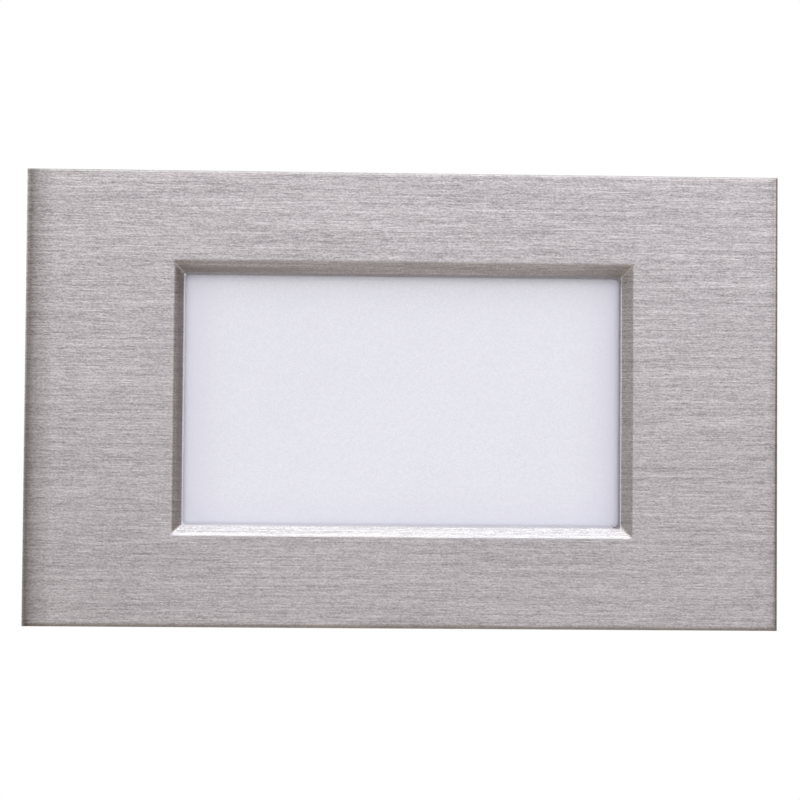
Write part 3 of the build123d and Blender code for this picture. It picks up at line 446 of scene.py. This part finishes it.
# ---------------------------------------------------------------- moulded, cast and plated surfaces
GRAIN_ROUGHNESS = 0.6
DRIFT_DETAIL = (4.0, 0.55)            # and its roughness
GRAIN_SHARE = 0.45                    # of the tone; the drift has the rest
TONE_SPREAD = (0.36, 0.64)
SCATTER_DEPTH = 0.001
GRAINED = {
    "black_nylon": dict(color=(0.020, 0.020, 0.022), roughness=0.55, grain=3200.0,
                        depth=0.00003, tint=0.3),
    "nickel": dict(color=(0.66, 0.63, 0.57), roughness=0.22, grain=900.0,
                   depth=0.000004, tint=0.05, gloss=0.07, metallic=1.0),
    "zinc_steel": dict(color=(0.50, 0.52, 0.55), roughness=0.36, grain=700.0, depth=0.000006,
                       tint=0.10, gloss=0.09, metallic=1.0, patches=45.0, second=(0.60, 0.60, 0.56)),
    "cast_aluminium": dict(color=(0.46, 0.465, 0.475), roughness=0.50, grain=2100.0, depth=0.000035,
                           tint=0.13, gloss=0.08, metallic=1.0, patches=38.0, detail=5.0),
    "silicone": dict(color=(0.62, 0.62, 0.60), roughness=0.6, grain=1500.0,
                     depth=0.00001, tint=0.06, scatter=0.3),
    "white_reflector": dict(color=(0.86, 0.86, 0.85), roughness=0.25, grain=2600.0,
                            depth=0.00001, tint=0.03),
    "led_package": dict(color=(0.80, 0.62, 0.16), roughness=0.2, grain=6000.0,
                        depth=0.00001, tint=0.18),
    "thermal_pad": dict(color=(0.20, 0.26, 0.36), roughness=0.75, grain=1800.0,
                        depth=0.00003, tint=0.12),
    "connector_nylon": dict(color=(0.74, 0.69, 0.56), roughness=0.45, grain=2600.0,
                            depth=0.00002, tint=0.06, scatter=0.15),
    "red_insulation": dict(color=(0.42, 0.02, 0.015), roughness=0.32, grain=1500.0,
                           depth=0.000008, tint=0.15),
    "black_insulation": dict(color=(0.02, 0.02, 0.02), roughness=0.32, grain=1500.0,
                             depth=0.000008, tint=0.3),
    "black_rubber": dict(color=(0.018, 0.018, 0.018), roughness=0.62, grain=2800.0,
                         depth=0.00003, tint=0.3),
    "ferrite": dict(color=(0.045, 0.045, 0.05), roughness=0.62, grain=2600.0,
                    depth=0.00004, tint=0.25),
    "film_case": dict(color=(0.62, 0.44, 0.06), roughness=0.35, grain=2600.0,
                      depth=0.000012, tint=0.07),
    "can_sleeve": dict(color=(0.012, 0.022, 0.065), roughness=0.24, grain=1200.0,
                       depth=0.000008, tint=0.25),
    "blue_epoxy": dict(color=(0.015, 0.075, 0.34), roughness=0.28, grain=500.0,
                       depth=0.00006, tint=0.14),
    "black_epoxy": dict(color=(0.018, 0.018, 0.02), roughness=0.5, grain=3400.0,
                        depth=0.00002, tint=0.3),
    "fuse_body": dict(color=(0.085, 0.028, 0.014), roughness=0.4, grain=2600.0,
                      depth=0.000012, tint=0.15),
    "green_paint": dict(color=(0.02, 0.19, 0.05), roughness=0.34, grain=900.0,
                        depth=0.00001, tint=0.16, metallic=0.6),
    "brass": dict(color=(0.62, 0.42, 0.14), roughness=0.3, grain=1200.0,
                  depth=0.000006, tint=0.10, metallic=1.0),
}


def grained(name, color, roughness, grain, depth, tint, gloss=0.06, metallic=0.0, patches=60.0,
            second=None, detail=3.0, scatter=None):
    """Fine grain in relief, and slow drifts of colour and gloss; scatter is for soft plastics."""
    made, tree, shader = material(name)
    points = place(tree)
    fine = noise(tree, points, grain, detail, GRAIN_ROUGHNESS)
    drift = noise(tree, points, patches, *DRIFT_DETAIL)
    tone = plus(tree, times(tree, fine, GRAIN_SHARE), times(tree, drift, 1.0 - GRAIN_SHARE))
    dark, light = two_tones(color, tint)
    wire(tree, shader, {
        "Base Color": mix_colors(tree, remap(tree, tone, *TONE_SPREAD, 0.0, 1.0), dark, second or light),
        "Roughness": remap(tree, drift, *NOISE_SPREAD, roughness - gloss, roughness + gloss),
        "Normal": bump(tree, fine, depth),
        "Metallic": metallic,
    })
    if scatter:
        wire(tree, shader, {"Subsurface Weight": scatter, "Subsurface Scale": SCATTER_DEPTH})
    return made


# ---------------------------------------------------------------- foam, boards and winding
FOAM_CELLS = 2300.0
FOAM_DRIFT = (120.0, 3.0)
FOAM_SPREAD = (0.1, 0.4)
FOAM_TINTS = (0.6, 1.7)
FOAM_ROUGHNESS = (0.82, 0.95)
FOAM_RELIEF = 0.00012
WEAVE = 1900.0                        # of the glass cloth, in radians a metre
WEAVE_SHARE = 0.3
WEAVE_RELIEF = 0.000008
BOARD_DRIFT = (90.0, 3.0)
BOARD_TINTS = (0.85, 1.12)
BOARD_GLOSS = 0.05
TURN_PITCH = 0.0024                   # of the tape's turns
TURN_SHARE = 0.55
TURN_RELIEF = 0.00006
TURN_TINT = 0.25
TAPE_DRIFT = (300.0, 3.0)
TAPE_GLOSS = 0.06


def foam(name, color):
    """Closed cells of a die-cut foam strip."""
    made, tree, shader = material(name)
    points = place(tree)
    cells = node(tree, "ShaderNodeTexVoronoi", {"Vector": points, "Scale": FOAM_CELLS})
    pores = cells.outputs["Distance"]
    drift = noise(tree, points, *FOAM_DRIFT)
    tone = remap(tree, times(tree, pores, drift), *FOAM_SPREAD, 0.0, 1.0)
    wire(tree, shader, {
        "Base Color": mix_colors(tree, tone, *(shade(color, tint) for tint in FOAM_TINTS)),
        "Roughness": remap(tree, drift, *NOISE_SPREAD, *FOAM_ROUGHNESS),
        "Normal": bump(tree, pores, FOAM_RELIEF),
    })
    return made


def board(name, color, roughness):
    """Solder mask over glass cloth, with the cloth's weave just showing."""
    made, tree, shader = material(name)
    points = place(tree)
    x, _, z = split(tree, points)
    threads = times(tree, sine(tree, times(tree, x, WEAVE)), sine(tree, times(tree, z, WEAVE)))
    drift = noise(tree, points, *BOARD_DRIFT)
    tone = plus(tree, remap(tree, threads, -1.0, 1.0, 0.0, WEAVE_SHARE),
                times(tree, drift, 1.0 - WEAVE_SHARE))
    tone = remap(tree, tone, *NOISE_SPREAD, 0.0, 1.0)
    wire(tree, shader, {
        "Base Color": mix_colors(tree, tone, *(shade(color, tint) for tint in BOARD_TINTS)),
        "Roughness": remap(tree, drift, *NOISE_SPREAD, roughness - BOARD_GLOSS, roughness + BOARD_GLOSS),
        "Normal": bump(tree, threads, WEAVE_RELIEF),
    })
    return made


def wrapped(name, color, roughness):
    """Tape laid in turns side by side along Y."""
    made, tree, shader = material(name)
    points = place(tree)
    _, y, _ = split(tree, points)
    turns = sine(tree, times(tree, y, 2 * math.pi / TURN_PITCH))
    drift = noise(tree, points, *TAPE_DRIFT)
    tone = plus(tree, remap(tree, turns, -1.0, 1.0, 0.0, TURN_SHARE),
                times(tree, drift, 1.0 - TURN_SHARE))
    wire(tree, shader, {
        "Base Color": mix_colors(tree, tone, *two_tones(color, TURN_TINT)),
        "Roughness": remap(tree, drift, *NOISE_SPREAD, roughness - TAPE_GLOSS, roughness + TAPE_GLOSS),
        "Normal": bump(tree, turns, TURN_RELIEF),
    })
    return made


slots = {name: grained(name, **look) for name, look in GRAINED.items()}
slots["brushed_stainless"] = brushed_stainless()
slots["opal_lens"] = opal_lens()
slots["black_foam"] = foam("black_foam", (0.022, 0.022, 0.024))
slots["white_board"] = board("white_board", (0.80, 0.81, 0.80), 0.40)
slots["green_board"] = board("green_board", (0.012, 0.105, 0.035), 0.30)
slots["winding_tape"] = wrapped("winding_tape", (0.62, 0.36, 0.02), 0.3)

for name, piece in cad.items():
    piece.data.materials.clear()
    piece.data.materials.append(slots[slot_of[name]])

# ---------------------------------------------------------------- soft edges on the CAD solids
WELD_DISTANCE = 0.000002
HARD_EDGE = math.radians(40.0)
EDGE_SEGMENTS = 2
EDGE_WIDTHS = {
    "faceplate": 0.00010,
    "lens": 0.00020,
    "rim_gasket": 0.00025,
    "mounting_yoke": 0.00012,
    "housing": 0.00020,
    "rear_cover": 0.00030,
    "lens_frame": 0.00010,
    "lens_gasket": 0.00010,
    "rear_gasket": 0.00010,
    "magnet_carrier_left": 0.00020,
    "magnet_carrier_right": 0.00020,
    "plate_magnets": 0.00020,
    "lead_grommet": 0.00030,
}


def soften(name, width):
    """Welds the imported corners and rounds the hard edges a little, as every real edge is."""
    weld = cad[name].modifiers.new("weld", "WELD")
    weld.merge_threshold = WELD_DISTANCE
    rounding = cad[name].modifiers.new("round", "BEVEL")
    rounding.width = width
    rounding.segments = EDGE_SEGMENTS
    rounding.limit_method = "ANGLE"
    rounding.angle_limit = HARD_EDGE
    rounding.harden_normals = True


for name, width in EDGE_WIDTHS.items():
    soften(name, width)

# ---------------------------------------------------------------- pan-head screws
SCREW_STEPS = 32
SMOOTH_ANGLE = math.radians(35.0)
# the head's rounded corner: its unit is a share of the head's height, and the other three values
# are in that unit, with its start and end taken down from the top
CORNER_UNIT = 0.30
CORNER_WIDTH = 1.6
CORNER_START = 2.1
CORNER_END = 0.4
CORNER_STEPS = 4
CROWN_WIDTH = 0.55                    # of what lies inside the corner
CROWN_DEPTH = 0.05                    # down from the top, in the corner's unit
THREAD_PITCH = 0.0005
THREAD_DEPTH = 0.6 * THREAD_PITCH
THREAD_ROWS = 4                       # rows of points a turn
THREAD_FADE = (4.0, 5.0)              # rows over which it starts under the head, and ends
THREAD_STOP = 1.2 * THREAD_PITCH      # short of the tip
TIP_WIDTH = 0.72
# the cross recess: its arms and blades, in shares of the head's radius
CROSS_REACH = 0.60
CROSS_BLADE = 0.14
BLADE_GROWTH = (0.75, 0.35)           # a fixed part, and one that follows the cross's size
CROSS_TOP = (0.0004, 1.15)            # metres past the head's top, and the cross's size there
CROSS_FLOOR = (0.30, 0.42)            # share of the head's height above its seat, and the size there
# reading a plain screw: its head is its widest part, and its shank the widest of the rest
DEPTH_DIGITS = 6
HEAD_SHARE = 0.999
SHANK_SHARE = 0.9
SEAT_MARGIN = 0.0001
# how far each screw is turned in its hole, in degrees
SCREW_TURNS = {
    "frame_screws": (18, 64, 40, 81),
    "cover_screws": (33, 71, 12, 55),
    "board_screws": (25, 60),
    "driver_screws": (48, 10),
    "ground_screw": (27,),
}


def bare_object(name, data):
    made = bpy.data.objects.new(name, data)
    scene.collection.objects.link(made)
    return made


def mesh_data(name, mesh):
    """Keeps a bmesh as mesh data, and frees it."""
    data = bpy.data.meshes.new(name)
    mesh.to_mesh(data)
    mesh.free()
    return data


def islands(name):
    """The separate solids of a node, each as a list of its points."""
    mesh = bmesh.new()
    mesh.from_mesh(cad[name].data)
    bmesh.ops.remove_doubles(mesh, verts=mesh.verts, dist=WELD_DISTANCE)
    left = set(mesh.verts)
    found = []
    while left:
        seed = min(left, key=lambda v: [round(c, DEPTH_DIGITS) for c in v.co.xzy])
        group, stack = {seed}, [seed]
        while stack:
            for edge in stack.pop().link_edges:
                for vertex in edge.verts:
                    if vertex not in group:
                        group.add(vertex)
                        stack.append(vertex)
        left -= group
        found.append([v.co.copy() for v in group])
    mesh.free()
    return found


def ring(mesh, radii, depth):
    """A ring of points about Y, one at each of its radii."""
    points = []
    for step, radius in enumerate(radii):
        angle = 2 * math.pi * step / len(radii)
        points.append(mesh.verts.new((radius * math.cos(angle), depth, radius * math.sin(angle))))
    return points


def circle(mesh, radius, depth):
    return ring(mesh, [radius] * SCREW_STEPS, depth)


def bridge(mesh, rings):
    """Skins a row of rings, each with the next."""
    for lower, upper in zip(rings, rings[1:]):
        for i, corner in enumerate(lower):
            after = (i + 1) % len(lower)
            mesh.faces.new((corner, lower[after], upper[after], upper[i]))


def head_rings(mesh, head_radius, head_height, shank_radius):
    """From under the head, round its corner and up to its crown."""
    unit = CORNER_UNIT * head_height
    inner = head_radius - CORNER_WIDTH * unit
    rings = [circle(mesh, shank_radius, 0.0), circle(mesh, head_radius, 0.0)]
    for step in range(CORNER_STEPS + 1):
        angle = math.pi / 2 * step / CORNER_STEPS
        radius = inner + CORNER_WIDTH * unit * math.cos(angle)
        below_top = CORNER_START - (CORNER_START - CORNER_END) * math.sin(angle)
        rings.append(circle(mesh, radius, below_top * unit - head_height))
    rings.append(circle(mesh, CROWN_WIDTH * inner, CROWN_DEPTH * unit - head_height))
    return rings


def thread_row(mesh, shank_radius, row, count):
    """One row of a thread that winds down the shank and fades at both ends."""
    depth = row * THREAD_PITCH / THREAD_ROWS
    fade = min(1.0, row / THREAD_FADE[0], (count - row) / THREAD_FADE[1])
    radii = []
    for step in range(SCREW_STEPS):
        phase = (depth / THREAD_PITCH - step / SCREW_STEPS) % 1.0
        flank = abs(2.0 * phase - 1.0)
        radii.append(shank_radius - THREAD_DEPTH * flank * fade - THREAD_DEPTH * 0.5 * (1.0 - fade))
    return ring(mesh, radii, depth)


def screw_mesh(head_radius, head_height, shank_radius, shank_length):
    """A pan-head screw, its head's seat at y = 0 and its head towards -Y."""
    mesh = bmesh.new()
    head = head_rings(mesh, head_radius, head_height, shank_radius)
    bridge(mesh, head)
    mesh.faces.new(head[-1])
    count = int((shank_length - THREAD_STOP) / (THREAD_PITCH / THREAD_ROWS))
    shank = [head[0], *(thread_row(mesh, shank_radius, row, count) for row in range(1, count))]
    shank.append(circle(mesh, TIP_WIDTH * shank_radius, shank_length))
    bridge(mesh, shank)
    mesh.faces.new(shank[-1])
    bmesh.ops.recalc_face_normals(mesh, faces=mesh.faces)
    return mesh_data("screw", mesh)


def cross_loop(mesh, head_radius, depth, size):
    """The outline of a cross, built from one of its quarters."""
    arm = CROSS_REACH * head_radius * size
    side = CROSS_BLADE * head_radius * (BLADE_GROWTH[0] + BLADE_GROWTH[1] * size)
    quarter = [(arm, -side), (arm, side), (side, side)]
    outline = []
    for _ in range(4):
        outline += quarter
        quarter = [(-z, x) for x, z in quarter]
    return [mesh.verts.new((x, depth, z)) for x, z in outline]


def cross_cutter(head_radius, head_height):
    """A tapering cross that sinks the recess into a head."""
    mesh = bmesh.new()
    past_top, top_size = CROSS_TOP
    above_seat, floor_size = CROSS_FLOOR
    loops = [
        cross_loop(mesh, head_radius, -(head_height + past_top), top_size),
        cross_loop(mesh, head_radius, -above_seat * head_height, floor_size),
    ]
    bridge(mesh, loops)
    for loop in loops:
        mesh.faces.new(loop)
    bmesh.ops.recalc_face_normals(mesh, faces=mesh.faces)
    return mesh_data("cross", mesh)


def finished_screw(head_radius, head_height, shank_radius, shank_length):
    """The screw's mesh with the recess cut in its head."""
    body = bare_object("screw_body", screw_mesh(head_radius, head_height, shank_radius, shank_length))
    cutter = bare_object("screw_cutter", cross_cutter(head_radius, head_height))
    cut = body.modifiers.new("recess", "BOOLEAN")
    cut.object = cutter
    cut.operation = "DIFFERENCE"
    cut.solver = "EXACT"
    bpy.context.view_layer.update()
    applied = body.evaluated_get(bpy.context.evaluated_depsgraph_get())
    data = bpy.data.meshes.new_from_object(applied)
    bpy.data.objects.remove(body)
    bpy.data.objects.remove(cutter)
    return data


def read_screw(points):
    """A plain screw's sizes, its seat's place, and whether its head looks to the room."""
    low = Vector([min(p[i] for p in points) for i in range(3)])
    high = Vector([max(p[i] for p in points) for i in range(3)])
    middle = (low + high) / 2
    radius_at = {}
    for p in points:
        depth = round(p.y, DEPTH_DIGITS)
        radius_at[depth] = max(radius_at.get(depth, 0.0), math.hypot(p.x - middle.x, p.z - middle.z))
    head_radius = max(radius_at.values())
    wide = [depth for depth, radius in radius_at.items() if radius > HEAD_SHARE * head_radius]
    to_room = abs(min(wide) - low.y) < abs(max(wide) - high.y)
    seat = max(wide) if to_room else min(wide)
    before, behind = seat - low.y, high.y - seat
    head_height, shank_length = (before, behind) if to_room else (behind, before)
    shank_radius = max(
        radius for depth, radius in radius_at.items()
        if (depth > seat + SEAT_MARGIN) == to_room
        and abs(depth - seat) > SEAT_MARGIN and radius < SHANK_SHARE * head_radius
    )
    sizes = (head_radius, head_height, shank_radius, shank_length)
    return sizes, (middle.x, seat, middle.z), to_room


def dress_screws(name, turns):
    """Round threaded screws with crossed heads in place of a node's plain ones."""
    joined = bmesh.new()
    for points, degrees in zip(islands(name), turns, strict=True):
        sizes, seat, to_room = read_screw(points)
        data = finished_screw(*sizes)
        turn = Matrix.Rotation(math.radians(degrees), 4, "Y")
        if not to_room:
            turn = Matrix.Rotation(math.pi, 4, "X") @ turn
        data.transform(Matrix.Translation(seat) @ turn)
        joined.from_mesh(data)
        bpy.data.meshes.remove(data)
    data = mesh_data(name + "_threaded", joined)
    data.polygons.foreach_set("use_smooth", [True] * len(data.polygons))
    data.set_sharp_from_angle(angle=SMOOTH_ANGLE)
    data.materials.append(slots[slot_of[name]])
    piece = bare_object(name + "_threaded", data)
    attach(piece, "base")
    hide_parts(name)


for name, turns in SCREW_TURNS.items():
    dress_screws(name, turns)

# ---------------------------------------------------------------- floor
FLOOR_DEPTH = -0.45
FLOOR_RADIUS = 1.5
FLOOR_SEGMENTS = 96
FLOOR_DRIFT = (6.0, 3.0)
# painted shade: near its middle, under the object, the floor is darker and warmer, in a tone that
# differs at random; outwards it pales to FLOOR_FAR
FLOOR_NEAR_SHADE = ((0.382, 0.350, 0.307), (0.424, 0.388, 0.343))
FLOOR_FAR = (0.60, 0.585, 0.56)
FLOOR_TURN = (0.25 * FLOOR_RADIUS, 0.70 * FLOOR_RADIUS)                # from near to far
FLOOR_FADE = (0.25 * FLOOR_RADIUS, 0.95 * FLOOR_RADIUS, 0.72, 1.0)      # into the camera's white
FLOOR_ROUGHNESS = 0.8


def build_floor():
    mesh = bmesh.new()
    bmesh.ops.create_circle(mesh, cap_ends=True, segments=FLOOR_SEGMENTS, radius=FLOOR_RADIUS)
    floor = bare_object("floor", mesh_data("floor", mesh))
    floor.location = (0.0, 0.0, FLOOR_DEPTH)
    made, tree, shader = material("floor")
    points = place(tree)
    spread = node(tree, "ShaderNodeVectorMath", {0: points}, operation="LENGTH").outputs["Value"]
    # painted shade near the middle, paling outwards
    shaded_near = mix_colors(tree, noise(tree, points, *FLOOR_DRIFT), *FLOOR_NEAR_SHADE)
    outer = remap(tree, spread, *FLOOR_TURN, 0.0, 1.0)
    wire(tree, shader, {
        "Base Color": mix_colors(tree, outer, shaded_near, FLOOR_FAR),
        "Roughness": FLOOR_ROUGHNESS,
    })
    white = node(tree, "ShaderNodeEmission", {"Color": (*WHITE, 1.0), "Strength": 1.0}).outputs[0]
    rays = node(tree, "ShaderNodeLightPath").outputs
    seen = times(tree, rays["Is Camera Ray"], remap(tree, spread, *FLOOR_FADE))
    mixed = node(tree, "ShaderNodeMixShader", {0: seen, 1: shader.outputs[0], 2: white})
    wire(tree, tree.nodes["Material Output"], {"Surface": mixed.outputs[0]})
    floor.data.materials.append(made)


# ---------------------------------------------------------------- world and lamps
FILL = (0.68, 0.68, 0.68)
# what gloss sees of the studio: sine of the height, level, and its green and blue against red
GLOSS_BY_HEIGHT = (
    (-1.0, 0.38, 0.95, 0.90),
    (-0.30, 0.40, 0.97, 0.94),
    (-0.04, 0.39, 0.98, 0.94),
    (0.13, 1.17, 1.0, 1.035),
    (0.55, 1.40, 1.01, 1.04),
    (0.80, 1.88, 1.04, 1.06),
    (1.0, 2.50, 1.06, 1.07),
)
# how the studio dims towards its right and left, and over which stretch of X
SIDE_RIGHT = (0.372, 0.338, 0.285)
RIGHT_TURN = (0.45, 0.95)
SIDE_LEFT = (0.60, 0.583, 0.545)
LEFT_TURN = (0.02, -0.65)
BEHIND_TURN = (0.15, 0.65, 0.0, 0.8)  # and how it whitens behind the object, along Y
# each lamp's place, size and power
LAMPS = {
    "key": ((0.25, -0.90, 1.05), (1.6, 1.1), 7.1),
    "front": ((-0.15, -1.5, -0.25), (1.6, 1.2), 7.0),
    "back": ((-0.3, 1.2, 0.8), (1.0, 0.8), 7.0),
}


def studio_gloss(tree):
    """The studio that gloss sees, with a bright ceiling and dimmer sides."""
    direction = node(tree, "ShaderNodeTexCoord").outputs["Generated"]
    x, y, z = split(tree, direction)
    rows = []
    for height, level, green, blue in GLOSS_BY_HEIGHT:
        rows.append((0.5 + 0.5 * height, level, level * green, level * blue))
    by_height = ramp(tree, remap(tree, z, -1.0, 1.0, 0.0, 1.0), rows)
    right = mix_colors(tree, remap(tree, x, *RIGHT_TURN, 0.0, 1.0), WHITE, SIDE_RIGHT)
    left = mix_colors(tree, remap(tree, x, *LEFT_TURN, 0.0, 1.0), WHITE, SIDE_LEFT)
    sides = vector_math(tree, "MULTIPLY", right, left)
    gloss = vector_math(tree, "MULTIPLY", by_height, sides)
    return mix_colors(tree, remap(tree, y, *BEHIND_TURN), gloss, WHITE)


def build_world():
    """White to the camera, the studio to gloss, and an even soft fill to the rest."""
    world = bpy.data.worlds.new("studio")
    scene.world = world
    world.use_nodes = True
    tree = world.node_tree
    tree.nodes.clear()
    rays = node(tree, "ShaderNodeLightPath").outputs
    plain = larger(tree, rays["Is Camera Ray"], rays["Is Transmission Ray"])
    color = mix_colors(tree, rays["Is Glossy Ray"], FILL, studio_gloss(tree))
    color = mix_colors(tree, plain, color, WHITE)
    background = node(tree, "ShaderNodeBackground", {"Color": color, "Strength": 1.0})
    node(tree, "ShaderNodeOutputWorld", {"Surface": background.outputs[0]})


def soft_lamp(name, position, size, watts):
    """A large lamp aimed at the object; gloss sees the world's soft gradient in its place."""
    data = bpy.data.lights.new(name, "AREA")
    data.shape = "RECTANGLE"
    data.size, data.size_y = size
    data.energy = watts
    lamp = bare_object(name, data)
    lamp.visible_camera = False
    lamp.visible_glossy = False
    aim = -Vector(position)
    lamp.matrix_world = Matrix.Translation(position) @ aim.to_track_quat("-Z", "Y").to_matrix().to_4x4()


build_floor()
build_world()
for name, (position, size, watts) in LAMPS.items():
    soft_lamp(name, position, size, watts)
